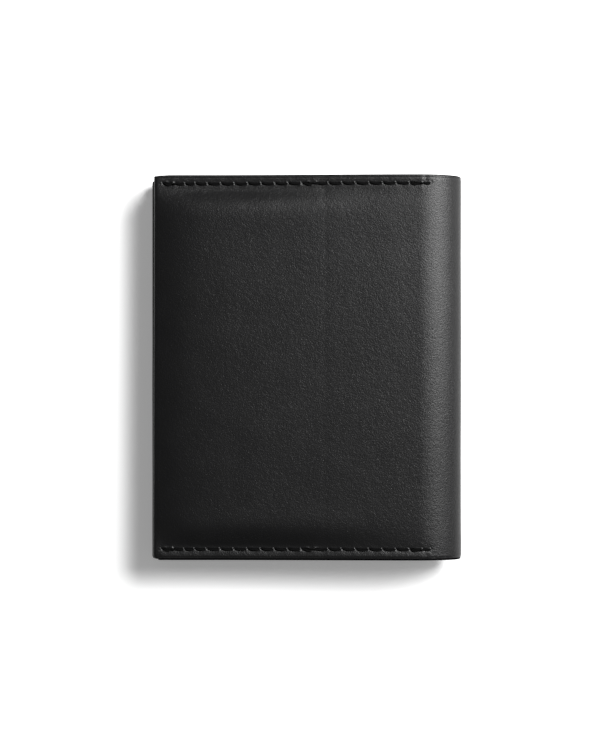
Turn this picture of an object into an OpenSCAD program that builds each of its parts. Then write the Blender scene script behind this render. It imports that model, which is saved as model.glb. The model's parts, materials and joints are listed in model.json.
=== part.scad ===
// Tall bifold wallet in folded leather, closed and lying on its front leaf.
// X runs from the outer fold to the spine, Y up the height of the wallet, Z through its thickness.

/* [Overall] */
// Closed width, from the outer fold to the outside of the spine
wallet_w = 77.8; // [75:0.2:84]
// Height of both leaves
wallet_h = 96; // [95:1:105]
// How far the back leaf stops short of the front leaf's outer fold
leaf_step = 1.3; // [0.5:0.1:1.5]
// Gap between the two leaves when the wallet is closed
leaf_gap = 0.35; // [0.3:0.05:1]
// Radius of the outer corners, seen from above
corner_r = 1.2; // [0.8:0.1:1.4]

/* [Leather and cloth] */
// Thickness of the cover leather
cover_t = 1.1; // [1:0.1:1.4]
// Thickness of the lining behind the cover
lining_t = 0.25; // [0.2:0.05:0.4]
// Thickness of the cover where it is folded in as a pocket front
return_t = 0.8; // [0.7:0.1:1]
// Thickness of the rear card slot's leather
slot_t = 0.6; // [0.6:0.1:0.9]
// Thickness of the note divider
divider_t = 0.5; // [0.5:0.1:0.8]
// Thickness of the cloth glued behind a pocket front
backing_t = 0.15; // [0.15:0.05:0.25]

/* [Pockets] */
// Clear depth of the back leaf's card stack pocket
stack_gap = 4.5; // [4.4:0.1:5.4]
// Clear depth of the note sleeve
note_gap = 0.6; // [0.5:0.1:1.4]
// Clear depth of each quick card slot
slot_gap = 0.8; // [0.8:0.05:1.2]
// Distance from the outer fold to the stack pocket's mouth
stack_mouth = 40; // [38:0.5:42]
// Distance from the outer fold to the front slot's mouth
front_mouth = 42; // [40:0.5:44]
// Distance from the outer fold to the rear slot's mouth
slot_mouth = 50; // [48:0.5:52]
// Distance from the outer fold to the note sleeve's mouth
note_mouth = 59; // [56:0.5:59.5]

/* [Seams] */
// How deep the front leaf's sewn margins lie below its crown
front_pinch = 1.2; // [1:0.1:1.4]
// How deep the back leaf's sewn margins lie below its crown
back_pinch = 2; // [1.2:0.1:2.4]
// Distance from the top or bottom edge to its seam
seam_inset = 2.5; // [2.3:0.1:2.9]
// Width of the flat sewn margin along the top and bottom edges
seam_margin = 3.5; // [3.4:0.1:3.9]
// Distance from the top or bottom edge to where the cover is at its full height
seam_rise = 4.9; // [4.7:0.1:5.1]
// Width of the sewing thread
thread_w = 0.5; // [0.4:0.05:0.6]

/* [Hidden] */
$fn = 96;

LEATHER = [0.11, 0.11, 0.12];
CLOTH = [0.2, 0.2, 0.22];
THREAD = [0.03, 0.03, 0.03];

// Depths below the outside of each leaf, where its layers are pressed together
skin_t = cover_t + lining_t;
slot_layers = backing_t + slot_t;
return_layers = backing_t + return_t;
front_stack = skin_t + divider_t + slot_layers + return_layers;
back_stack = skin_t + return_layers;

front_leaf_t = front_stack + note_gap + 2 * slot_gap;
back_leaf_t = back_stack + stack_gap;
wallet_t = front_leaf_t + leaf_gap + back_leaf_t;

// The spine is a half circle, bent at SPINE_BENDS evenly spaced lines on its outer surface
SPINE_BENDS = 3;
bend_angle = 180 / SPINE_BENDS;
bend_play = 0.3;
spine_r = wallet_t / 2;
spine_x = wallet_w / 2 - spine_r;
front_len = spine_x + wallet_w / 2;
back_len = front_len - leaf_step;

// The cover's crown: lines where each slope begins and ends
fold_in = 1.5;
fold_rise = 9;
seam_v = wallet_h / 2 - seam_inset;
margin_v = wallet_h / 2 - seam_margin;
crown_v = wallet_h / 2 - seam_rise;
fade_from = 65;
fade_to = 70;

// Room beyond the wallet for the solids that cut it
LAP = 2;
TOP = 10;
FAR = 90;

// Sewing
STITCHES = 20;
first_hole = 1.4;
thread_h = 0.25;
thread_bite = 0.05;
stitch_pitch = 3.35;

// ---------- Frames: U from the outer fold, V up the wallet, W in from the leaf's outside ----------

module front_leaf() {
  $pinch = front_pinch;
  translate([-wallet_w / 2, 0, 0]) children();
}

module back_leaf() {
  $pinch = back_pinch;
  translate([leaf_step - wallet_w / 2, 0, wallet_t]) mirror([0, 0, 1]) children();
}

// A shape drawn in U and W, drawn out along V
module along_v(h = wallet_h + 2 * LAP) rotate([90, 0, 0]) linear_extrude(h, center = true) children();

// A shape drawn in V and W, drawn out along U
module along_u() translate([-LAP, 0, 0]) rotate([90, 0, 90]) linear_extrude(FAR + LAP) children();

// A slab of everything between two distances from the outer fold
module between_u(u0, u1)
  translate([u0, -wallet_h / 2 - LAP, -LAP]) cube([u1 - u0, wallet_h + 2 * LAP, TOP + 2 * LAP]);

// ---------- Crowned surfaces ----------

module wedge(a0, a1, r)
  polygon([[0, 0], [r * sin(a0), -r * cos(a0)], [r * sin(a1), -r * cos(a1)]]);

// Slice of the spine's ring between two radii, angles counted from its lowest line
module ring_slice(r_out, r_in, a0, a1)
  intersection() {
    difference() {
      circle(r_out);
      circle(r_in);
    }
    wedge(a0, a1, 2 * r_out);
  }

// Side view of all that lies inside the cover's surface, offset inwards by depth
module side_view(len, depth, spare) {
  polygon([
    [-LAP, $pinch + depth], [fold_in, $pinch + depth], [fold_rise, depth], [len, depth],
    [len, TOP + spare], [-LAP, TOP + spare]
  ]);
  translate([len, spine_r]) intersection() {
    circle(spine_r - depth);
    wedge(0, bend_angle / 2 + 3 * spare, 2 * spine_r);
  }
}

// End view: the margins along the top and bottom edges are pinched in
module end_view(depth) {
  slope = (margin_v - crown_v) / $pinch;
  low_v = crown_v - (LAP + depth) * slope;
  side = wallet_h / 2 + LAP;
  polygon([
    [-side, $pinch + depth], [-margin_v, $pinch + depth], [-low_v, -LAP], [low_v, -LAP],
    [margin_v, $pinch + depth], [side, $pinch + depth], [side, TOP + LAP], [-side, TOP + LAP]
  ]);
}

// Side view: the pinch fades out towards the spine
module fade_view(depth) {
  drop = $pinch / (fade_to - fade_from);
  polygon([
    [fade_from, $pinch + depth], [FAR, depth - drop * (FAR - fade_to)],
    [FAR, TOP + LAP], [fade_from, TOP + LAP]
  ]);
}

// All that lies inside the crowned cover, offset inwards by depth
module inside_cover(len, depth, spare = 0)
  intersection() {
    along_v() side_view(len, depth, spare);
    union() {
      along_u() end_view(depth);
      along_v() fade_view(depth);
    }
  }

module panel_side(depth, gap) along_v() polygon([
  [-LAP, $pinch + depth], [fold_in, $pinch + depth], [fold_rise, depth + gap],
  [FAR, depth + gap], [FAR, TOP + LAP], [-LAP, TOP + LAP]
]);

module panel_end(depth, gap) {
  side = wallet_h / 2 + LAP;
  along_u() polygon([
    [-side, $pinch + depth], [-margin_v, $pinch + depth], [-crown_v, depth + gap],
    [crown_v, depth + gap], [margin_v, $pinch + depth], [side, $pinch + depth],
    [side, TOP + LAP], [-side, TOP + LAP]
  ]);
}

// All that lies inwards of a pocket layer: depth in the sewn margins, depth + gap over the pocket
module inside_panel(depth, gap)
  if (gap > $pinch) {
    panel_side(depth, gap);
    panel_end(depth, gap);
  } else intersection() {
    panel_side(depth, gap);
    panel_end(depth, gap);
  }

// Outline from above, with rounded corners at the outer fold
module outline() translate([0, 0, -LAP]) linear_extrude(TOP + 2 * LAP) {
  translate([corner_r, -wallet_h / 2]) square([FAR, wallet_h]);
  translate([0, corner_r - wallet_h / 2]) square([corner_r, wallet_h - 2 * corner_r]);
  for (v = [corner_r - wallet_h / 2, wallet_h / 2 - corner_r]) translate([corner_r, v]) circle(corner_r);
}

// Side view of the outer fold's round nose
module nose(stack) {
  r = min(1.5, stack / 2 - 0.05);
  translate([r, -LAP]) square([FAR, TOP + 2 * LAP]);
  translate([0, $pinch + r]) square([FAR, stack - 2 * r]);
  for (w = [$pinch + r, $pinch + stack - r]) translate([r, w]) circle(r);
}

// ---------- Leaf pieces ----------

// One sheet of leather: the leaf's outside, folded in at the outer edge as the front of a pocket
module folded_cover(len, stack, gap, mouth)
  difference() {
    intersection() {
      inside_cover(len, 0);
      outline();
      along_v() nose(stack);
    }
    intersection() {
      inside_cover(len, cover_t, 1);
      union() {
        between_u(mouth, FAR);
        inside_panel(stack, gap);
        difference() {
          between_u(fold_in, mouth + 1);
          inside_panel(stack - return_t, gap);
        }
      }
    }
  }

module lining(len)
  intersection() {
    difference() {
      inside_cover(len, cover_t);
      inside_cover(len, skin_t, 1);
    }
    outline();
    between_u(fold_in, FAR);
  }

// A layer sewn in at the top and bottom edges, open towards the spine
module panel(depth, gap, thick, mouth)
  intersection() {
    difference() {
      inside_panel(depth, gap);
      inside_panel(depth + thick, gap);
    }
    outline();
    between_u(fold_in, mouth);
  }

// ---------- Thread ----------

function hole_u(i) = first_hole + i * stitch_pitch;

// Depth of the sewn margin's outside
function margin_w(u) = $pinch * min(1, max(0, (fade_to - u) / (fade_to - fade_from)));

// Thickness of the layers pressed together in the margin
function front_layers(u) =
  skin_t + (u < note_mouth ? divider_t : 0) + (u < slot_mouth ? slot_layers : 0)
  + (u < front_mouth ? return_layers : 0);
function back_layers(u) = skin_t + (u < stack_mouth ? return_layers : 0);
function layers(leaf, u) = leaf == "front" ? front_layers(u) : back_layers(u);

// One thread run between two holes, lying on the surface at depth w0 and w1
module run(u0, u1, w0, w1, side) {
  gap = 0.15;
  out = side * thread_h;
  bite = side * thread_bite;
  polygon([
    [u0 + gap, w0 + out], [u1 - gap, w1 + out], [u1 - gap, w1 - bite], [u0 + gap, w0 - bite]
  ]);
}

// A lockstitched seam: runs outside, runs inside, and the threads that join them in each hole
module seam(leaf, v) {
  post = 0.5;
  proud = 0.15;
  translate([0, v, 0]) along_v(thread_w) {
    for (i = [0 : STITCHES - 1]) {
      u0 = hole_u(i);
      u1 = hole_u(i + 1);
      run(u0, u1, margin_w(u0), margin_w(u1), -1);
      run(u0, u1, margin_w(u0) + layers(leaf, u0), margin_w(u1) + layers(leaf, u1), 1);
    }
    for (i = [0 : STITCHES]) {
      u = hole_u(i);
      translate([u - post / 2, margin_w(u) - proud]) square([post, layers(leaf, u) + 2 * proud]);
    }
  }
}

// Doubled stitches at both ends of each seam and at the pocket's mouth
module bartacks(mouth) {
  beside = 0.48;
  for (side = [-1, 1], u = [first_hole, mouth - stitch_pitch, hole_u(STITCHES - 1)], b = [-beside, beside])
    translate([0, side * seam_v + b, 0]) along_v(0.4)
      run(u, u + stitch_pitch, margin_w(u), margin_w(u + stitch_pitch), -1);
}

// ---------- Nodes ----------

module front_cover() color(LEATHER) front_leaf()
  folded_cover(front_len, front_stack, note_gap + 2 * slot_gap, front_mouth);

module front_lining() color(CLOTH) front_leaf() lining(front_len);

module note_divider() color(CLOTH) front_leaf() panel(skin_t, note_gap, divider_t, note_mouth);

module rear_slot_backing() color(CLOTH) front_leaf()
  panel(skin_t + divider_t, note_gap + slot_gap, backing_t, slot_mouth);

module rear_slot_panel() color(LEATHER) front_leaf()
  panel(skin_t + divider_t + backing_t, note_gap + slot_gap, slot_t, slot_mouth);

module front_pocket_backing() color(CLOTH) front_leaf()
  panel(front_stack - return_layers, note_gap + 2 * slot_gap, backing_t, front_mouth);

module front_seam(side) color(THREAD) front_leaf() seam("front", side * seam_v);

module front_bartacks() color(THREAD) front_leaf() bartacks(front_mouth);

module spine_piece(k, depth, thick, tint)
  color(tint) translate([spine_x, 0, spine_r]) along_v(wallet_h)
    ring_slice(spine_r - depth, spine_r - depth - thick,
      (k - 0.5) * bend_angle + bend_play, (k + 0.5) * bend_angle - bend_play);

module spine_leather(k) spine_piece(k, 0, cover_t, LEATHER);

module spine_lining(k) spine_piece(k, cover_t, lining_t, CLOTH);

module back_cover() color(LEATHER) back_leaf() folded_cover(back_len, back_stack, stack_gap, stack_mouth);

module back_lining() color(CLOTH) back_leaf() lining(back_len);

module stack_pocket_backing() color(CLOTH) back_leaf() panel(skin_t, stack_gap, backing_t, stack_mouth);

module back_seam(side) color(THREAD) back_leaf() seam("back", side * seam_v);

module back_bartacks() color(THREAD) back_leaf() bartacks(stack_mouth);

front_cover();
front_lining();
note_divider();
rear_slot_panel();
rear_slot_backing();
front_pocket_backing();
front_seam(1);  // front_seam_top
front_seam(-1);  // front_seam_bottom
front_bartacks();
spine_leather(1);  // spine_leather_1
spine_leather(2);  // spine_leather_2
spine_lining(1);  // spine_lining_1
spine_lining(2);  // spine_lining_2
back_cover();
back_lining();
stack_pocket_backing();
back_seam(1);  // back_seam_top
back_seam(-1);  // back_seam_bottom
back_bartacks();
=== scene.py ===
"""Looks of the tall bifold wallet: leather covers, cloth linings, pocket panels and seams round the frame."""

import json
import math

import bmesh
import bpy
import numpy as np
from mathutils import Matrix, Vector


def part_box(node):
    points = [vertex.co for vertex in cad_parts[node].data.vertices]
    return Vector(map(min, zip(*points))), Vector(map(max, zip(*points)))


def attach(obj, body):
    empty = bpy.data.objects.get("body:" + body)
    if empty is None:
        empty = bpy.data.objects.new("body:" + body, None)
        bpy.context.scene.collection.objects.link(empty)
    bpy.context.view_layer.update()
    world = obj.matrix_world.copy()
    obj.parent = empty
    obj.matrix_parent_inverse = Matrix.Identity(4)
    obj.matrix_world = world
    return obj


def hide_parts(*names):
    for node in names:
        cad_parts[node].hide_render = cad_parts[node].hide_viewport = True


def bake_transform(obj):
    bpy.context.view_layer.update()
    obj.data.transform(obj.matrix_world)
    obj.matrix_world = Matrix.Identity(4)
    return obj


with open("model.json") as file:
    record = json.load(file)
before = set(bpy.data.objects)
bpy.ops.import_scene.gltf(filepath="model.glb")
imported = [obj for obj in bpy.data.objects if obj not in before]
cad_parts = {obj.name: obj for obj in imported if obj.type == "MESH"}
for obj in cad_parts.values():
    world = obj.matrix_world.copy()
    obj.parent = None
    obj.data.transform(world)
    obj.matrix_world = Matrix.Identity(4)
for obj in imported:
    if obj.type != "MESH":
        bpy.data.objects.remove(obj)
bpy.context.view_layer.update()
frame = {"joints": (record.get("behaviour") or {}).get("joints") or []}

# ---------- Sizes, in millimetres ----------

MM = 0.001

# Layers, the gaps between them and the pinch of the sewn margins, as in the CAD
COVER_T, RETURN_T, SLOT_T, DIVIDER_T = 1.1, 0.8, 0.6, 0.5
LINING_T, BACKING_T = 0.25, 0.15
NOTE_GAP, SLOT_GAP, STACK_GAP = 0.6, 0.8, 4.5
FRONT_PINCH, BACK_PINCH = 1.2, 2.0

# The leather settles over RISE_ACROSS beside a sewn margin, and leaves the outer fold at the slope NOSE_TILT.
# The margin's pinch fades out along the leaf between the two distances of FADE.
MARGIN = 3.4
RISE_ACROSS = 2.3
NOSE_TILT = math.radians(21)
FADE = (12.0, 73.0)

# What handling has done to each leaf at its outer fold: how far it has slipped down; how far it leans out,
# and how much less at the top; and the radius of its bottom and top corners
SKEW = {"front": 0.42, "back": 0.0}
LEAN = {"front": (0.0, 0.0), "back": (-0.5, 0.12)}
CORNER = {"front": (1.1, 0.6), "back": (1.0, 0.25)}

# The outer fold is hammered tighter than a half circle, most at TIGHT_LENGTH from its edge
TIGHTEN, TIGHT_LENGTH = 0.28, 0.9

# The spine's section is an ellipse that starts before the half circle does, with a gentle fall towards it
SPINE_DEEP, FALL_START, FALL = 10.8, 18.0, 0.03

# Seams: their lines, and holes at an even pitch apart from the shorter first and last stitches
SEAM_INSET, SEAM_SHIFT, STITCHES = 2.5, 0.35, 21
FIRST_HOLE, PITCH, LAST_HOLE = 2.0, 3.333, 68.4
SHORT_BY, SHORT_STITCHES = 2.3, 4
MIDDLE_TACK = 11.2

# A stitch slants and sags between its holes
THREAD_R, SLANT, SAG = 0.23, 0.13, 0.23

# Relief that the seams press into the leather: the groove under a stitch, the knot of leather between two
# stitches, the puckers beside them, the trough along the seam, and the margin's flare at top and bottom
GROOVE, GROOVE_W = 0.25, 0.26
KNOT, KNOT_LONG, KNOT_WIDE, KNOT_OFF = 0.27, 0.22, 0.2, 0.08
PUCKER, PUCKER_OFF, PUCKER_W = 0.015, 0.9, 0.6
TROUGH, TROUGH_W = 0.07, 1.1
FLARE, FLARE_FROM, FLARE_W = {1: 0.05, -1: 0.19}, 0.3, 2.0

# The spots that the doubled stitches pull up: their size; stitches along the seam, millimetres across it
PULL_LONG, PULL_WIDE = 0.26, 0.24
TACK_PULLS = ((0.33, 0.38), (0.62, -0.36), (0.9, 0.3), (-0.25, -0.32))

# The cut edges: their roll, the line pressed beside them, how far they are worn down at bottom and top, and
# how far the edge paint comes round at the bottom only, a dark band without sheen as painted shade
EDGE_ROLL = 0.3
CREASE, CREASE_OFF, CREASE_W = 0.06, 0.8, 0.17
SHOULDER, SHOULDER_W = (0.3, 0.06), 0.5
PAINT_SHADE_WRAP = 0.62

# Along the front cover from the pocket's mouth, where its outer fold has almost no sheen, as painted shade
DULL_SHADE_SPAN = (38.5, 45.0)

# How far from the outer fold the layers of the panels end
LAYERS_END = 67.3

# Mesh steps
COLUMN = PITCH / 11
COARSE_COLUMN = COLUMN * 1.5
GATHER = 0.5
FINE_ROW, ROW_GROWTH, COARSE_ROW = 0.12, 0.16, 1.4
FOLD_STEPS, ARC_STEPS, LINING_ARC_STEPS = 14, 16, 12
RIM_RINGS, RIM_TEXTURE = 4, 0.2
HAIR = 0.02
UV_MM = 100


def box_mm(node):
    low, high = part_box(node)
    return np.array(low) / MM, np.array(high) / MM


FOLDS = frame["joints"]
BENDS = len(FOLDS)
BEND = math.radians(FOLDS[0]["range_deg"][1])
THICK = box_mm("back_cover")[1][2]
HALF_H = box_mm("back_cover")[1][1]
SPINE_R = THICK / 2
SPINE_X = FOLDS[0]["pos_m"][0] / MM - SPINE_R * math.sin(BEND / 2)
SEAM_V = HALF_H - SEAM_INSET
MARGIN_V = HALF_H - MARGIN

# ---------- Shapes in numbers ----------


def smooth(t):
    t = np.clip(t, 0, 1)
    return t * t * (3 - 2 * t)


def swell(distance, width):
    """A smooth swelling, 1 high at distance 0."""
    return np.exp(-((distance / width) ** 2))


def settle(distance, length):
    """Rise, from 0 to 1, of a sheet clamped at distance 0 and carried by what lies under it."""
    x = np.maximum(distance, 0) / length
    return 1 - np.exp(-x) * (np.cos(x) + np.sin(x))


def ease_spine(points):
    """Points drawn towards the middle of the thickness near the spine, so that its section is drawn out."""
    edge = SPINE_X + SPINE_R
    x = np.clip(points[..., 0], -np.inf, edge - 1e-4)
    ellipse = 1 - np.clip((x - edge + SPINE_DEEP) / SPINE_DEEP, 0, 1) ** 2
    circle = 1 - np.clip((x - SPINE_X) / SPINE_R, 0, 1) ** 2
    fall = 1 - FALL * (np.maximum(x - FALL_START, 0) / (SPINE_X - FALL_START)) ** 2
    moved = points.copy()
    moved[..., 2] = SPINE_R + (points[..., 2] - SPINE_R) * np.sqrt(ellipse / circle) * fall
    return moved


def waves(seed, count, shortest, longest, height):
    """Directions, phases and height of gentle undulations in the hide."""
    rng = np.random.default_rng(seed)
    way = rng.normal(size=(count, 3))
    way /= np.linalg.norm(way, axis=1)[:, None]
    number = 2 * math.pi / rng.uniform(shortest, longest, count)
    return way * number[:, None], rng.uniform(0, 2 * math.pi, count), height / math.sqrt(count)


UNDULATIONS = (waves(11, 14, 14, 40, 0.0352), waves(12, 18, 3.5, 9, 0.0056))


def undulation(points):
    return sum(height * np.sin(points @ ways.T + phases).sum(-1) for ways, phases, height in UNDULATIONS)


# ---------- Leaves ----------


class Leaf:
    """One leaf: u from its outer fold, v up the wallet, w in from the plane of its outside."""

    def __init__(self, name, pinch, stack, gap, mouth_node, seam_layers, flipped):
        self.name, self.pinch, self.stack, self.gap, self.flipped = name, pinch, stack, gap, flipped
        self.body = f"{name}_leaf"
        self.x0 = box_mm(f"{name}_cover")[0][0]
        self.spine_u = SPINE_X - self.x0
        self.mouth = box_mm(mouth_node)[1][0] - self.x0
        self.nose = stack / 2
        self.layers = seam_layers
        self.sign = 1 if flipped else -1

    def place(self, u, v, w):
        """Points in the row frame, in millimetres."""
        u, v, w = np.broadcast_arrays(u, v, w)
        from_spine = 1 - u / self.spine_u
        lean, turn = LEAN[self.name]
        near = np.maximum(u, 0) / TIGHT_LENGTH
        x = self.x0 + u + (lean + turn * v / HALF_H) * from_spine - TIGHTEN * near * np.exp(1 - near)
        v = v - SKEW[self.name] * from_spine
        return ease_spine(np.stack([x, v, THICK - w if self.flipped else w], -1))

    def tilt(self, v):
        """The slope at which the outside leaves the outer fold: none in the sewn margins."""
        return NOSE_TILT * np.clip(settle(MARGIN_V - np.abs(v), RISE_ACROSS), 0, 1)

    def rise_along(self):
        """Length over which the outside settles from the outer fold."""
        return (self.pinch + self.nose * (1 - math.cos(NOSE_TILT))) / math.tan(NOSE_TILT)

    def level(self, u, v, margin, crown, fades=False):
        """Depth of a layer that is at margin where it is held and at crown over the pockets."""
        across = settle(MARGIN_V - np.abs(v), RISE_ACROSS)
        fade = 1 - smooth((u - FADE[0]) / (FADE[1] - FADE[0])) if fades else 1
        past = np.exp(-np.maximum(u - self.nose * (1 - math.sin(NOSE_TILT)), 0) / self.rise_along())
        lift = (1 - past) * (1 - (1 - across) * fade)
        return margin + (crown - margin) * lift

    def outside(self, u, v):
        """Depth of the cover's good side."""
        tilt = self.tilt(v)
        past = np.maximum(u - self.nose * (1 - np.sin(tilt)), 0) / self.rise_along()
        return self.level(u, v, self.pinch, 0.0, True) + self.nose * (1 - np.cos(tilt)) * np.exp(-past)

    def held(self, u):
        """Depth of the outside in the sewn margins."""
        return self.outside(u, SEAM_V)

    def inside(self, u):
        """Depth of the innermost layer in the sewn margins."""
        depth = self.held(u)
        for thick, reach in self.layers:
            depth = depth + thick * (1 - smooth((u - reach + 0.6) / 1.2))
        return depth


def reach(node, cover_node):
    """How far from its leaf's outer fold a layer reaches."""
    return box_mm(node)[1][0] - box_mm(cover_node)[0][0]


SKIN = COVER_T + LINING_T
SLOT_LAYERS, RETURN_LAYERS = SLOT_T + BACKING_T, RETURN_T + BACKING_T
WHOLE_LEAF = 1000.0
NOTE_MOUTH = reach("note_divider", "front_cover")
SLOT_MOUTH = reach("rear_slot_panel", "front_cover")
FRONT_MOUTH = reach("front_pocket_backing", "front_cover")
STACK_MOUTH = reach("stack_pocket_backing", "back_cover")

FRONT = Leaf(
    "front",
    FRONT_PINCH,
    SKIN + DIVIDER_T + SLOT_LAYERS + RETURN_LAYERS,
    NOTE_GAP + 2 * SLOT_GAP,
    "front_pocket_backing",
    [(SKIN, WHOLE_LEAF), (DIVIDER_T, NOTE_MOUTH), (SLOT_LAYERS, SLOT_MOUTH), (RETURN_LAYERS, FRONT_MOUTH)],
    False,
)
BACK = Leaf(
    "back",
    BACK_PINCH,
    SKIN + RETURN_LAYERS,
    STACK_GAP,
    "stack_pocket_backing",
    [(SKIN, WHOLE_LEAF), (RETURN_LAYERS, STACK_MOUTH)],
    True,
)
LEAVES = (FRONT, BACK)

# ---------- Surface detail of sewn leather ----------

COUNTS = np.arange(-2, STITCHES + 3)
HOLES = FIRST_HOLE + PITCH * COUNTS - SHORT_BY * smooth(COUNTS / SHORT_STITCHES)
HOLES[COUNTS >= STITCHES] = LAST_HOLE + PITCH * np.arange(3)
TACKS = (0, MIDDLE_TACK, STITCHES - 2)
OUTER_TACKS = TACKS[:2]


def hole(count):
    """How far from the outer fold a hole is, counted from the first; between two holes, in proportion."""
    return np.interp(count, COUNTS, HOLES)


def stitch_line(share):
    """How far a stitch lies from the seam line, at a share of its length."""
    return SLANT * (1 - 2 * share) - SAG * np.sin(math.pi * share)


def seam_press(u, v, tacks):
    """Height of the leather round the seams."""
    place = np.interp(u, HOLES, COUNTS)
    share = place - np.floor(place)
    at_hole = swell(u - hole(np.round(place)), KNOT_LONG)
    sewn = smooth((place + 0.2) / 0.2) * smooth((STITCHES + 0.2 - place) / 0.2)
    flares = smooth((STITCHES + 1.2 - place) / 4)
    total = np.zeros(np.broadcast(u, v).shape)
    for side in (-1, 1):
        off = v - side * SEAM_V - SEAM_SHIFT
        groove = swell(off - stitch_line(share), GROOVE_W) * (1 - 0.6 * at_hole)
        knot = at_hole * swell(off - KNOT_OFF, KNOT_WIDE)
        pucker = np.cos(2 * math.pi * share) * swell(np.abs(off) - PUCKER_OFF, PUCKER_W)
        for tack in tacks:
            for along, across in TACK_PULLS:
                total += KNOT * swell(u - hole(tack + along), PULL_LONG) * swell(off - across, PULL_WIDE)
        total += FLARE[side] * smooth((side * off + FLARE_FROM) / FLARE_W) * flares
        total += sewn * (PUCKER * pucker - GROOVE * groove + KNOT * knot - TROUGH * swell(off, TROUGH_W))
    return total


def edge_press(v):
    """The line pressed along the cut edges, and the wear beside them."""
    off = HALF_H - np.abs(v)
    return -CREASE * swell(off - CREASE_OFF, CREASE_W) - np.where(v < 0, *SHOULDER) * swell(off, SHOULDER_W)


def pocket_shadow(leaf, u, v):
    """The pocket's mouth and the end of the layered panels, showing faintly through the cover."""
    held = smooth((HALF_H - 3 - np.abs(v)) / 6)
    mouth = -0.05 * swell(u - leaf.mouth - 2.4, 1.1) * (0.35 + 0.65 * (1 - held))
    end = -0.12 * swell(u - LAYERS_END, 0.5) * (1 - smooth((SEAM_V + 1.2 - np.abs(v)) / 1.2))
    return mouth + end


def diagonal_draw(u, v):
    """Short drag lines that run from the seams into the margins."""
    off = HALF_H - np.abs(v)
    line = np.sin(2 * math.pi * (u * 1.05 + off * 0.9)) * np.sin(2 * math.pi * (u * 0.13 + 0.3))
    return 0.012 * line * swell(off - 1.4, 0.7)


def mouth_crease(off):
    """The line pressed along a pocket's mouth."""
    return -0.09 * swell(off - 1.9, 0.22)


def hide_waves(points, v):
    """The hide's undulations, which die out at the cut edges."""
    return undulation(points) * smooth((HALF_H - np.abs(v)) / 3)


# ---------- Meshes ----------


def rows(roll=EDGE_ROLL):
    """Heights of the mesh's rows, closest together at the seams and the cut edges."""
    half, off = [], roll
    while HALF_H - off > 0.5:
        half.append(HALF_H - off)
        far = max(0.0, min(abs(off - SEAM_INSET) - 0.8, off - 1.0))
        off += min(FINE_ROW + ROW_GROWTH * far, COARSE_ROW)
    half = np.array(half)
    return np.concatenate([-half, half[::-1]])


def plain_rows(roll, step=1.2):
    return np.linspace(-HALF_H + roll, HALF_H - roll, round(2 * HALF_H / step))


def hole_columns(start, end):
    """Columns of the mesh along the wallet, closest together at the stitch holes."""
    count = round((end - start) / COLUMN)
    place = np.interp(np.linspace(start, end, count)[1:-1], HOLES, COUNTS)
    gathered = hole(place - GATHER * np.sin(2 * math.pi * place) / (2 * math.pi))
    return np.concatenate([[start], gathered[(gathered > start + 0.1) & (gathered < end - 0.1)]])


def spread(start, end, step):
    return np.linspace(start, end, max(2, round(abs(end - start) / step) + 1))


def with_hairs(values, ends):
    """The values and one more right beside each named end, so that a plain cut shades as part of the curve."""
    values = list(values)
    if 0 in ends:
        values.insert(1, values[0] + math.copysign(HAIR, values[1] - values[0]))
    if -1 in ends:
        values.insert(-1, values[-1] - math.copysign(HAIR, values[-1] - values[-2]))
    return np.array(values)


def unit(vectors):
    return vectors / np.maximum(np.linalg.norm(vectors, axis=-1, keepdims=True), 1e-12)


def grid_normals(points, sign):
    return unit(np.cross(np.gradient(points, axis=0), np.gradient(points, axis=1)) * sign)


def border(count_u, count_v):
    """The grid's border cells, once round."""
    last_u, last_v = count_u - 1, count_v - 1
    return np.array(
        [(i, 0) for i in range(last_u)]
        + [(last_u, j) for j in range(last_v)]
        + [(i, last_v) for i in range(last_u, 0, -1)]
        + [(0, j) for j in range(last_v, 0, -1)]
    )


def rim_points(points, back, cells, rolls):
    """Points of the rolled edge at each border cell, from the good side round to the back."""
    i, j = cells.T
    last_u, last_v = points.shape[0] - 1, points.shape[1] - 1
    along = unit(np.gradient(points, axis=0))[i, j]
    across = unit(np.gradient(points, axis=1))[i, j]
    push = np.zeros((len(cells), 3))
    for at_edge, roll, way in (
        (i == 0, rolls[0], -along),
        (i == last_u, rolls[1], along),
        (j == 0, rolls[2], -across),
        (j == last_v, rolls[3], across),
    ):
        push += (at_edge * (roll or 0.0))[:, None] * way
    middle, half = (points[i, j] + back[i, j]) / 2, (points[i, j] - back[i, j]) / 2
    turns = (math.pi * np.arange(1, RIM_RINGS + 1) / (RIM_RINGS + 1))[:, None]
    rings = middle[:, None] + half[:, None] * np.cos(turns) + push[:, None] * np.sin(turns)
    return rings.reshape(-1, 3)


def mesh_object(name, points, faces, texture, materials, kinds=None):
    """A smooth closed mesh. texture is each point's place on the flat material, in millimetres."""
    mesh = bpy.data.meshes.new(name)
    mesh.from_pydata((points * MM).tolist(), [], faces)
    if kinds is not None:
        mesh.polygons.foreach_set("material_index", kinds)
    layer = mesh.uv_layers.new(name="Hide")
    corner = np.zeros(len(mesh.loops), np.int32)
    mesh.loops.foreach_get("vertex_index", corner)
    layer.data.foreach_set("uv", (texture / UV_MM)[corner].astype(np.float32).ravel())
    work = bmesh.new()
    work.from_mesh(mesh)
    bmesh.ops.recalc_face_normals(work, faces=work.faces)
    work.to_mesh(mesh)
    work.free()
    for material in materials:
        mesh.materials.append(material)
    mesh.shade_smooth()
    made = bpy.data.objects.new(name, mesh)
    bpy.context.scene.collection.objects.link(made)
    return made


def mark_sharp(mesh, pairs):
    keys = {tuple(sorted(map(int, pair))) for pair in pairs}
    flags = [tuple(sorted(edge.vertices)) in keys for edge in mesh.edges]
    attribute = mesh.attributes.get("sharp_edge") or mesh.attributes.new("sharp_edge", "BOOLEAN", "EDGE")
    attribute.data.foreach_set("value", flags)


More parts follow.
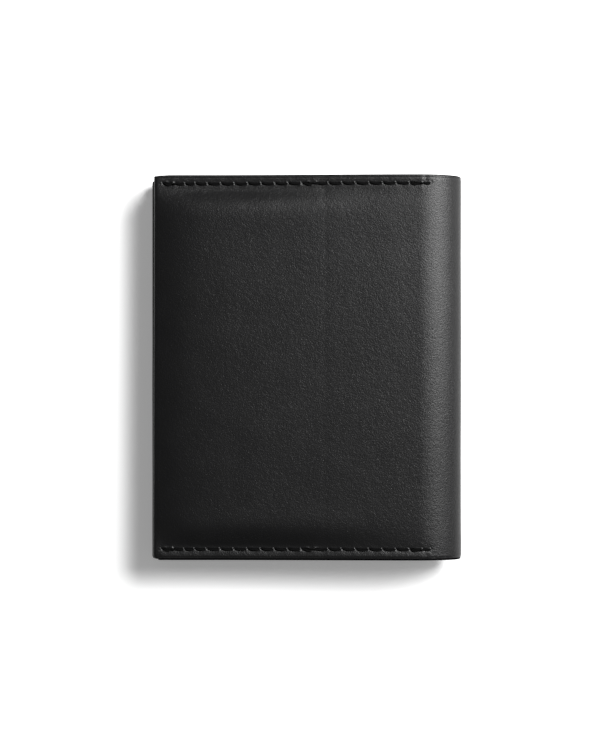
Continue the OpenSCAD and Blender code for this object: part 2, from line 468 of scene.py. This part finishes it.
def sheet_mesh(name, points, normals, thick, rolls, materials, texture_u=None, dull_shade=None):
    """A closed sheet: its good side at points, its back thick below, and rolled edges.

    rolls are how far the edges stand out at the first and last column and at the first and last row;
    None is a plain cut, which shades as part of the surface. materials are those of the good side, the rim,
    the back and the painted-shade stretch without sheen at the outer fold, as many as it needs."""
    count_u, count_v = points.shape[:2]
    total = count_u * count_v
    back = points - normals * np.broadcast_to(thick, (count_u, count_v))[..., None]
    index = np.arange(total).reshape(count_u, count_v)
    cells = border(count_u, count_v)
    i, j = cells.T
    rings = 2 * total + np.arange(len(cells) * RIM_RINGS).reshape(-1, RIM_RINGS)
    round_rim = np.column_stack([index[i, j], rings, index[i, j] + total])
    beside = np.roll(round_rim, -1, axis=0)
    rim = np.stack([round_rim[:, :-1], round_rim[:, 1:], beside[:, 1:], beside[:, :-1]], -1).reshape(-1, 4)
    corners = [index[:-1, :-1], index[1:, :-1], index[1:, 1:], index[:-1, 1:]]
    good_faces = np.stack([corner.ravel() for corner in corners], 1)
    faces = np.concatenate([good_faces, good_faces[:, ::-1] + total, rim])

    if texture_u is None:
        steps = np.linalg.norm(np.diff(points[:, count_v // 2], axis=0), axis=1)
        texture_u = np.concatenate([[0], np.cumsum(steps)])
    flat = np.stack(np.broadcast_arrays(texture_u[:, None], points[..., 1]), -1).reshape(-1, 2)
    rim_flat = np.repeat(flat[index[i, j]], RIM_RINGS, axis=0)
    out = np.tile(np.arange(1, RIM_RINGS + 1) * RIM_TEXTURE, len(cells))
    rim_flat[:, 1] += np.sign(rim_flat[:, 1]) * out

    good = np.zeros((count_u - 1, count_v - 1))
    # Edge paint on the good side along the bottom edge only: real edge paint, laid at the bottom as painted
    # shade
    good[points[:-1, 1:, 1] < PAINT_SHADE_WRAP - HALF_H] = 1
    # Faces round the front's outer fold take the hide with almost no sheen, as painted shade
    if dull_shade:
        good[(texture_u[:-1] > dull_shade[0]) & (texture_u[:-1] < dull_shade[1])] = 3
    kinds = np.concatenate([good.ravel(), np.full(len(good_faces), 2), np.ones(len(rim))]).astype(np.int32)

    made = mesh_object(
        name,
        np.concatenate([points.reshape(-1, 3), back.reshape(-1, 3), rim_points(points, back, cells, rolls)]),
        faces.tolist(),
        np.concatenate([flat, flat, rim_flat]),
        materials,
        np.minimum(kinds, len(materials) - 1),
    )
    cut = ((i == 0) & (rolls[0] is None)) | ((i == count_u - 1) & (rolls[1] is None))
    cut &= np.roll(cut, -1)
    if cut.any():
        edges = [np.stack([round_rim[cut, k], beside[cut, k]], 1) for k in (0, -1)]
        mark_sharp(made.data, np.concatenate(edges))
    return made


# ---------- Materials ----------


class Nodes:
    """A short way to wire a material."""

    def __init__(self, name):
        self.material = bpy.data.materials.new(name)
        self.material.use_nodes = True
        self.tree = self.material.node_tree
        self.shader = self.tree.nodes["Principled BSDF"]

    def add(self, kind, inputs=None, **settings):
        node = self.tree.nodes.new(kind)
        for key, value in settings.items():
            setattr(node, key, value)
        for key, value in (inputs or {}).items():
            self.put(node.inputs[key], value)
        return node

    def put(self, socket, value):
        if isinstance(value, bpy.types.NodeSocket):
            self.tree.links.new(value, socket)
        else:
            socket.default_value = value

    def math(self, operation, first, second=0.0, third=0.0):
        node = self.add("ShaderNodeMath", operation=operation)
        for socket, value in zip(node.inputs, (first, second, third)):
            self.put(socket, value)
        return node.outputs[0]

    def vector(self, operation, first, second):
        return self.add("ShaderNodeVectorMath", {0: first, 1: second}, operation=operation).outputs[0]

    def millimetres(self):
        """The place on the flat material, so that nothing slides when a piece bends."""
        place = self.add("ShaderNodeUVMap", uv_map="Hide")
        return self.vector("MULTIPLY", place.outputs[0], (UV_MM, UV_MM, UV_MM))

    def noise(self, vector, scale, detail=3.0, roughness=0.5, output="Fac"):
        values = {"Vector": vector, "Scale": scale, "Detail": detail, "Roughness": roughness}
        return self.add("ShaderNodeTexNoise", values).outputs[output]

    def cells(self, vector, scale, smoothness):
        values = {"Vector": vector, "Scale": scale, "Smoothness": smoothness}
        return self.add("ShaderNodeTexVoronoi", values, feature="SMOOTH_F1").outputs["Distance"]

    def between(self, factor, low, high):
        return self.add("ShaderNodeMapRange", {"Value": factor, "To Min": low, "To Max": high}).outputs[0]

    def colour(self, factor, first, second):
        node = self.add("ShaderNodeMix", data_type="RGBA")
        self.put(node.inputs["Factor"], factor)
        self.put(node.inputs["A"], (*first, 1))
        self.put(node.inputs["B"], (*second, 1))
        return node.outputs["Result"]

    def bump(self, height, distance):
        values = {"Height": height, "Distance": distance * MM, "Strength": 1.0}
        return self.add("ShaderNodeBump", values).outputs[0]

    def finish(self, colour, roughness, normal=None, **settings):
        self.put(self.shader.inputs["Base Color"], colour)
        self.put(self.shader.inputs["Roughness"], roughness)
        if normal is not None:
            self.put(self.shader.inputs["Normal"], normal)
        for key, value in settings.items():
            self.put(self.shader.inputs[key.replace("_", " ")], value)
        return self.material


def leather(name, dark, light, low, high, pebble, depth, sheen=0.315):
    """Aniline black hide: small round pebbles, finer wrinkles between them and a waxed satin surface."""
    n = Nodes(name)
    place = n.millimetres()
    bent = n.vector("ADD", place, n.noise(place, 0.9, 2.0, output="Color"))
    pebbles = n.cells(bent, pebble, 0.35)
    small = n.cells(bent, pebble * 2.3, 0.3)
    fine = n.noise(place, 6.0, 4.0, 0.6)
    hide = n.noise(place, 0.16)
    height = n.math("ADD", n.math("MULTIPLY", pebbles, -1.0), n.math("MULTIPLY", small, -0.45))
    height = n.math("ADD", height, n.math("MULTIPLY", fine, 0.55))
    worn = n.math("MULTIPLY_ADD", hide, 0.7, n.math("MULTIPLY", fine, 0.3))
    tone, rough = n.colour(worn, dark, light), n.between(worn, low, high)
    return n.finish(tone, rough, n.bump(height, depth), Specular_IOR_Level=sheen)


def cloth(name, dark, light, pitch=0.32):
    """Plain weave of fine yarns."""
    n = Nodes(name)
    place = n.millimetres()
    parts = n.add("ShaderNodeSeparateXYZ", {0: place})
    warp, weft = (n.math("SINE", n.math("MULTIPLY", parts.outputs[k], 2 * math.pi / pitch)) for k in (0, 1))
    over = n.math("MULTIPLY", warp, weft)
    ridges = n.math("ADD", n.math("ABSOLUTE", warp), n.math("ABSOLUTE", weft))
    height = n.math("MULTIPLY_ADD", over, 0.5, ridges)
    slub = n.noise(place, 1.6, 3.0, 0.6)
    normal = n.bump(n.math("MULTIPLY_ADD", slub, 0.5, height), 0.04)
    tone = n.colour(n.math("MULTIPLY_ADD", over, 0.3, slub), dark, light)
    return n.finish(tone, 0.82, normal, Sheen_Weight=0.12, Sheen_Roughness=0.5, Specular_IOR_Level=0.3)


def yarn(name, dark, light):
    """Waxed black thread, with fibres along the twist."""
    n = Nodes(name)
    fibres = n.noise(n.vector("MULTIPLY", n.millimetres(), (2.0, 26.0, 1.0)), 1.0, 3.0, 0.6)
    tone, rough = n.colour(fibres, dark, light), n.between(fibres, 0.75, 0.95)
    return n.finish(tone, rough, n.bump(fibres, 0.03), Specular_IOR_Level=0.06)


def paint(name, tone, roughness):
    """Edge paint, brushed on along the cut."""
    n = Nodes(name)
    flow = n.noise(n.vector("MULTIPLY", n.millimetres(), (0.5, 3.0, 1.0)), 1.0)
    tones = n.colour(flow, tone, tuple(1.7 * x for x in tone))
    rough = n.between(flow, roughness, roughness + 0.14)
    return n.finish(tones, rough, n.bump(flow, 0.03), Specular_IOR_Level=0.0)


OUTER = ((0.0028, 0.0028, 0.003), (0.005, 0.005, 0.0052), 0.35, 0.42, 3.2, 0.034)
HIDE = leather("cover_hide", *OUTER)
# The same hide with almost no sheen, laid round the front's outer fold as painted shade
DULL_SHADE_HIDE = leather("cover_hide_dull_shade", *OUTER, sheen=0.02)
INNER = leather("inner_hide", (0.004, 0.004, 0.0042), (0.008, 0.008, 0.0083), 0.4, 0.5, 2.6, 0.03)
FLESH = leather("flesh_side", (0.02, 0.019, 0.019), (0.035, 0.033, 0.032), 0.8, 0.95, 4.0, 0.06)
LINING = cloth("lining_weave", (0.007, 0.007, 0.008), (0.019, 0.019, 0.021))
BACKING = cloth("backing_weave", (0.008, 0.008, 0.009), (0.018, 0.018, 0.02), 0.26)
DIVIDER = cloth("divider_weave", (0.01, 0.01, 0.011), (0.025, 0.025, 0.028), 0.4)
THREAD = yarn("waxed_thread", (0.0015, 0.0015, 0.0015), (0.004, 0.004, 0.004))
EDGE = paint("edge_paint", (0.0025, 0.0025, 0.0027), 0.6)

# ---------- The leather covers ----------


def arc(angles, radius, v):
    """Points round the spine, angles counted from the front leaf's side."""
    a, y = np.meshgrid(angles, v, indexing="ij")
    return ease_spine(np.stack([SPINE_X + radius * np.sin(a), y, SPINE_R - radius * np.cos(a)], -1))


def leaf_arc(leaf, steps, radius, v):
    """A leaf's share of the spine, and one column past it for the slope there."""
    angles = with_hairs(np.linspace(0, BEND, steps + 1), (-1,))
    angles = np.append(angles, angles[-1] + BEND / steps)
    return arc(math.pi - angles if leaf.flipped else angles, radius, v)


def corner_draw(leaf, u, v):
    """How far the outer corners are drawn in, so that they are round."""
    radius = np.where(v < 0, *CORNER[leaf.name])
    past = np.clip(np.abs(v) - (HALF_H - EDGE_ROLL - radius), 0, radius)
    return (radius - np.sqrt(radius**2 - past**2)) * (1 - smooth(u / 5))


def cover(leaf):
    """The hide of one leaf: pocket front, turned edge, outside, and its share of the spine."""
    v = rows()
    nose, tilt = leaf.nose, leaf.tilt(v)[None]
    inward = spread(leaf.mouth - EDGE_ROLL, nose, COARSE_COLUMN)[:, None]
    turns = np.linspace(0, 1, FOLD_STEPS + 1)[1:-1, None] * (math.pi - tilt)
    base = hole_columns(nose, leaf.spine_u)[:, None]
    out = base - nose * np.sin(tilt) * (leaf.spine_u - base) / (leaf.spine_u - nose)
    inner, folded = len(inward), len(inward) + len(turns)

    pocket = leaf.level(inward, v, leaf.held(inward) + leaf.stack, leaf.stack + leaf.gap)
    fold = leaf.pinch + nose + nose * np.cos(turns)
    u = np.concatenate([inward + 0 * v, nose - nose * np.sin(turns), out])
    w = np.concatenate([pocket, fold, leaf.outside(out, v)])
    u = u + corner_draw(leaf, u, v)
    points = np.concatenate([leaf.place(u, v[None], w), leaf_arc(leaf, ARC_STEPS, SPINE_R, v)])
    normals = grid_normals(points, leaf.sign)

    u_in, u_out = u[:inner], u[folded:]
    height = hide_waves(points, v)
    height[:inner] = 0.4 * height[:inner] + 0.6 * seam_press(u_in, v, ()) + mouth_crease(leaf.mouth - u_in)
    pressed = seam_press(u_out, v, OUTER_TACKS) + pocket_shadow(leaf, u_out, v) + diagonal_draw(u_out, v)
    height[folded : len(u)] += pressed
    height += edge_press(v)
    column = np.arange(len(points))
    at_fold = smooth((column - inner + 6) / 6) * smooth((folded + 6 - column) / 6)
    height *= 1 - 0.7 * at_fold[:, None]

    thick = np.full(points.shape[:2], COVER_T)
    thick[:inner] = RETURN_T
    thick[inner:folded] = np.linspace(RETURN_T, 0.95 * COVER_T, len(turns))[:, None]
    points = points + normals * height[..., None]
    return sheet_mesh(
        f"{leaf.name}_cover_hide",
        points[:-1],
        normals[:-1],
        (thick + height)[:-1],
        (EDGE_ROLL, None, EDGE_ROLL, EDGE_ROLL),
        # The front's outer fold gets the hide with almost no sheen, as painted shade
        [HIDE, EDGE, FLESH] if leaf is BACK else [HIDE, EDGE, FLESH, DULL_SHADE_HIDE],
        dull_shade=None if leaf is BACK else DULL_SHADE_SPAN,
    )


def spine_hide(fold):
    """The hide from the middle of one spine strip to the middle of the next."""
    step = BEND / ARC_STEPS
    angles = with_hairs(np.linspace(fold * BEND, (fold + 1) * BEND, ARC_STEPS + 1), (0, -1))
    angles = np.concatenate([[angles[0] - step], angles, [angles[-1] + step]])
    v = rows()
    points = arc(angles, SPINE_R, v)
    normals = grid_normals(points, -1)
    height = hide_waves(points, v) + edge_press(v)
    points = points + normals * height[..., None]
    along = SPINE_R * angles + FRONT.spine_u
    inside = slice(1, -1)
    return sheet_mesh(
        f"spine_hide_{fold}",
        points[inside],
        normals[inside],
        COVER_T + height[inside],
        (None, None, EDGE_ROLL, EDGE_ROLL),
        [HIDE, EDGE, FLESH],
        along[inside],
    )


def on_arc(step, radius=SPINE_R):
    return tuple(arc(np.array([step * BEND]), radius, np.zeros(1))[0, 0] * MM)


def bend(piece, fold, radius=SPINE_R):
    """Bakes the piece's placing into its mesh; the points on the arc at the middles of the strips before and
    after the fold are worked out and not used.
    """
    on_arc(fold, radius)
    on_arc(fold + 1, radius)
    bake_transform(piece)


covers = {leaf.name: cover(leaf) for leaf in LEAVES}
bend(covers["front"], 0)
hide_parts("front_cover")
bend(covers["back"], BENDS - 1)
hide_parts("back_cover", f"spine_leather_{BENDS - 1}")
for fold in range(1, BENDS - 1):
    strip = spine_hide(fold)
    bend(strip, fold)
    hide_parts(f"spine_leather_{fold}")

# ---------- Cloth linings ----------

# The lining is a hair thinner than its room, ends inside the painted edges and starts behind the outer fold
LINING_SHEET_T, LINING_ROLL, LINING_INSET, TUCK = LINING_T - 0.03, 0.08, 0.33, 2.6
LINING_COLUMN = 0.9
LINING_R = SPINE_R - SKIN


def lining(leaf):
    v = plain_rows(LINING_INSET)
    u = spread(TUCK, leaf.spine_u, LINING_COLUMN)[:-1, None]
    points = leaf.place(u + 0 * v, v[None], leaf.outside(u, v) + SKIN)
    points = np.concatenate([points, leaf_arc(leaf, LINING_ARC_STEPS, LINING_R, v)])
    normals = grid_normals(points, -leaf.sign)[:-1]
    rolls = (LINING_ROLL, None, LINING_ROLL, LINING_ROLL)
    return sheet_mesh(f"{leaf.name}_lining_cloth", points[:-1], normals, LINING_SHEET_T, rolls, [LINING])


def spine_lining(fold):
    """The lining from the middle of one spine strip to the middle of the next."""
    angles = with_hairs(np.linspace(fold * BEND, (fold + 1) * BEND, LINING_ARC_STEPS + 1), (0, -1))
    points = arc(angles, LINING_R, plain_rows(LINING_INSET))
    return sheet_mesh(
        f"spine_lining_cloth_{fold}",
        points,
        grid_normals(points, 1),
        LINING_SHEET_T,
        (None, None, LINING_ROLL, LINING_ROLL),
        [LINING],
        LINING_R * angles,
    )


linings = {leaf.name: lining(leaf) for leaf in LEAVES}
bend(linings["front"], 0, LINING_R)
bend(linings["back"], BENDS - 1, LINING_R)
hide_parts("front_lining")
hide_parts("back_lining", f"spine_lining_{BENDS - 1}")
for fold in range(1, BENDS - 1):
    strip = spine_lining(fold)
    bend(strip, fold, LINING_R)
    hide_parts(f"spine_lining_{fold}")

# ---------- Pocket panels ----------

BACKING_ROLL, DIVIDER_ROLL, SLOT_ROLL = 0.05, 0.2, 0.25
BACKING_SHORT = 0.3


def panel(name, leaf, depth, gap, thick, mouth, materials, roll, creased=False):
    """A layer sewn in at top and bottom and open towards the spine, its good side facing the inside.

    Under it in the leaf lie depth of other layers, and gap of air over the pockets."""
    v = rows(roll) if creased else plain_rows(roll)
    u = spread(mouth - roll, leaf.nose + 0.4, COARSE_COLUMN if creased else LINING_COLUMN)[:, None]
    w = leaf.level(u, v, leaf.held(u) + depth + thick, depth + thick + gap)
    points = leaf.place(u + 0 * v, v[None], w)
    normals = grid_normals(points, leaf.sign)
    height = np.zeros(points.shape[:2])
    if creased:
        height = 0.4 * hide_waves(points, v) + mouth_crease(mouth - u)
    points = points + normals * height[..., None]
    return sheet_mesh(name, points, normals, thick + height, (roll,) * 4, materials)


divider = panel("note_divider_cloth", FRONT, SKIN, NOTE_GAP, DIVIDER_T, NOTE_MOUTH, [DIVIDER], DIVIDER_ROLL)
slot_back = panel(
    "rear_slot_backing_cloth",
    FRONT,
    SKIN + DIVIDER_T,
    NOTE_GAP + SLOT_GAP,
    BACKING_T,
    SLOT_MOUTH - BACKING_SHORT,
    [BACKING],
    BACKING_ROLL,
)
slot_front = panel(
    "rear_slot_leather",
    FRONT,
    SKIN + DIVIDER_T + BACKING_T,
    NOTE_GAP + SLOT_GAP,
    SLOT_T,
    SLOT_MOUTH,
    [INNER, EDGE, FLESH],
    SLOT_ROLL,
    creased=True,
)
front_back = panel(
    "front_pocket_backing_cloth",
    FRONT,
    FRONT.stack - RETURN_LAYERS,
    FRONT.gap,
    BACKING_T,
    FRONT_MOUTH - BACKING_SHORT,
    [BACKING],
    BACKING_ROLL,
)
stack_back = panel(
    "stack_pocket_backing_cloth",
    BACK,
    SKIN,
    STACK_GAP,
    BACKING_T,
    STACK_MOUTH - BACKING_SHORT,
    [BACKING],
    BACKING_ROLL,
)
for piece, node, leaf, slot, mouth in (
    (divider, "note_divider", FRONT, "lining_cloth", NOTE_MOUTH),
    (slot_back, "rear_slot_backing", FRONT, "lining_cloth", SLOT_MOUTH),
    (slot_front, "rear_slot_panel", FRONT, "inner_leather", SLOT_MOUTH),
    (front_back, "front_pocket_backing", FRONT, "lining_cloth", FRONT_MOUTH),
    (stack_back, "stack_pocket_backing", BACK, "lining_cloth", STACK_MOUTH),
):
    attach(piece, leaf.body)
    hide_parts(node)

# ---------- Sewing thread ----------

# Points round and along one stitch; the plies and how far one turn of their twist takes
AROUND, ALONG, PLIES, LAY = 10, 16, 3, 1.9

# A doubled stitch: how far across and along the seam it lies, and its share of a stitch's length
TACK_STITCHES = ((0.24, 0.1, 0.75), (-0.26, -0.12, 0.7), (0.08, 0.5, 0.85))
TACK_R, TACK_LIFT = THREAD_R * 0.8, 0.1


def rope(path, radius, start):
    """Vertices, faces and texture places of one twisted thread run along path, thinner at its ends."""
    length = np.concatenate([[0], np.cumsum(np.linalg.norm(np.diff(path, axis=0), axis=1))])
    ahead = unit(np.gradient(path, axis=0))
    side = unit(np.cross(ahead, [0.0, 0.0, 1.0]))
    up = np.cross(side, ahead)
    turn = np.linspace(0, 2 * math.pi, AROUND, endpoint=False)
    twist = turn[None] - 2 * math.pi * length[:, None] / LAY
    size = radius * (0.84 + 0.18 * np.abs(np.cos(PLIES / 2 * twist)))
    size *= (0.3 + 0.7 * np.sin(math.pi * np.linspace(0, 1, len(path))) ** 0.6)[:, None]
    across, upwards = (size * np.cos(turn))[..., None], (size * np.sin(turn))[..., None]
    points = path[:, None] + side[:, None] * across + up[:, None] * upwards
    index = start + np.arange(len(path) * AROUND).reshape(len(path), AROUND)
    beside = np.roll(index, -1, axis=1)
    faces = np.stack([index[:-1], beside[:-1], beside[1:], index[1:]], -1).reshape(-1, 4).tolist()
    faces += [index[0][::-1].tolist(), index[-1].tolist()]
    place = np.stack(np.broadcast_arrays(length[:, None], radius * twist), -1).reshape(-1, 2)
    return points.reshape(-1, 3), faces, place


def thread_object(name, runs, leaf, node):
    """One piece of thread runs, each a path and its radius."""
    points, faces, places, start = [], [], [], 0
    for path, radius in runs:
        made, quads, place = rope(path, radius, start)
        points.append(made)
        faces += quads
        places.append(place)
        start += len(made)
    piece = mesh_object(name, np.concatenate(points), faces, np.concatenate(places), [THREAD])
    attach(piece, leaf.body)
    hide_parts(node)


def stitch(leaf, place, side, shift=0.0, lift=0.0, share=1.0):
    """One stitch on the outside, from hole to hole, dipping into the leather at both ends."""
    f = np.linspace(0, 1, ALONG)
    u = hole(place + 0.53 + (f - 0.5) * 0.84 * share)
    v = side * SEAM_V + SEAM_SHIFT + stitch_line(f) + shift
    proud = 0.02 + lift - 0.42 * np.abs(2 * f - 1) ** 5
    return leaf.place(u, v, leaf.outside(u, side * SEAM_V) - proud)


def inner_stitch(leaf, place, side):
    """The same seam's stitch on the wallet's inside."""
    f = np.linspace(0, 1, ALONG)
    u = hole(place + f)
    v = side * SEAM_V + SEAM_SHIFT - 0.6 * stitch_line(f)
    proud = 0.1 - 0.5 * np.abs(2 * f - 1) ** 5
    return leaf.place(u, v, leaf.inside(u) + proud)


rng = np.random.default_rng(5)
for leaf in LEAVES:
    for side, end in ((1, "top"), (-1, "bottom")):
        runs = []
        for place in range(STITCHES):
            shift = rng.normal(0, 0.025)
            runs.append((stitch(leaf, place, side, shift, rng.uniform(-0.02, 0.03)), THREAD_R))
            runs.append((inner_stitch(leaf, place, side), THREAD_R))
        thread_object(f"{leaf.name}_{end}_thread", runs, leaf, f"{leaf.name}_seam_{end}")
    runs = []
    for side in (-1, 1):
        for place in TACKS:
            for shift, move, share in TACK_STITCHES:
                step = max(move + rng.uniform(-0.06, 0.06), -place)
                runs.append((stitch(leaf, place + step, side, shift, TACK_LIFT, share), TACK_R))
    thread_object(f"{leaf.name}_backtack_thread", runs, leaf, f"{leaf.name}_bartacks")

# ---------- Floor, light and camera, in metres ----------

FLOOR, FLOOR_Z = 2.0, -0.0002
SHADOW_LIFT = {"Emission_Color": (1, 1, 1, 1), "Emission_Strength": 0.24}

floor_corners = [(-FLOOR, -FLOOR, 0), (FLOOR, -FLOOR, 0), (FLOOR, FLOOR, 0), (-FLOOR, FLOOR, 0)]
floor = bpy.data.meshes.new("floor")
floor.from_pydata(floor_corners, [], [(0, 1, 2, 3)])
white = Nodes("floor_white").finish((0.9, 0.9, 0.9, 1), 0.9, Specular_IOR_Level=0.0, **SHADOW_LIFT)
floor.materials.append(white)
floor_object = bpy.data.objects.new("floor", floor)
floor_object.location.z = FLOOR_Z
bpy.context.scene.collection.objects.link(floor_object)


def softbox(name, place, width, depth, power):
    """An area light that aims at the wallet."""
    data = bpy.data.lights.new(name, "AREA")
    data.shape, data.size, data.size_y, data.energy = "RECTANGLE", width, depth, power
    made = bpy.data.objects.new(name, data)
    made.location = place
    made.rotation_euler = (-Vector(place)).to_track_quat("-Z", "Y").to_euler()
    bpy.context.scene.collection.objects.link(made)


softbox("key", (0.36, 0.27, 0.46), 0.36, 0.3, 8.5)
softbox("right_strip", (0.6, 0.1, 0.22), 0.2, 0.6, 0.8)

world = bpy.data.worlds.new("studio")
world.use_nodes = True
world.node_tree.nodes["Background"].inputs["Color"].default_value = (1, 1, 1, 1)
world.node_tree.nodes["Background"].inputs["Strength"].default_value = 0.12
bpy.context.scene.world = world
bpy.context.scene.view_settings.view_transform = "Standard"

camera_data = bpy.data.cameras.new("camera")
camera_data.lens, camera_data.sensor_width, camera_data.shift_y = 95.3, 36.0, 0.0712
camera = bpy.data.objects.new("camera", camera_data)
camera.location = (-0.00157, -0.014, 0.5)
bpy.context.scene.collection.objects.link(camera)
bpy.context.scene.camera = camera
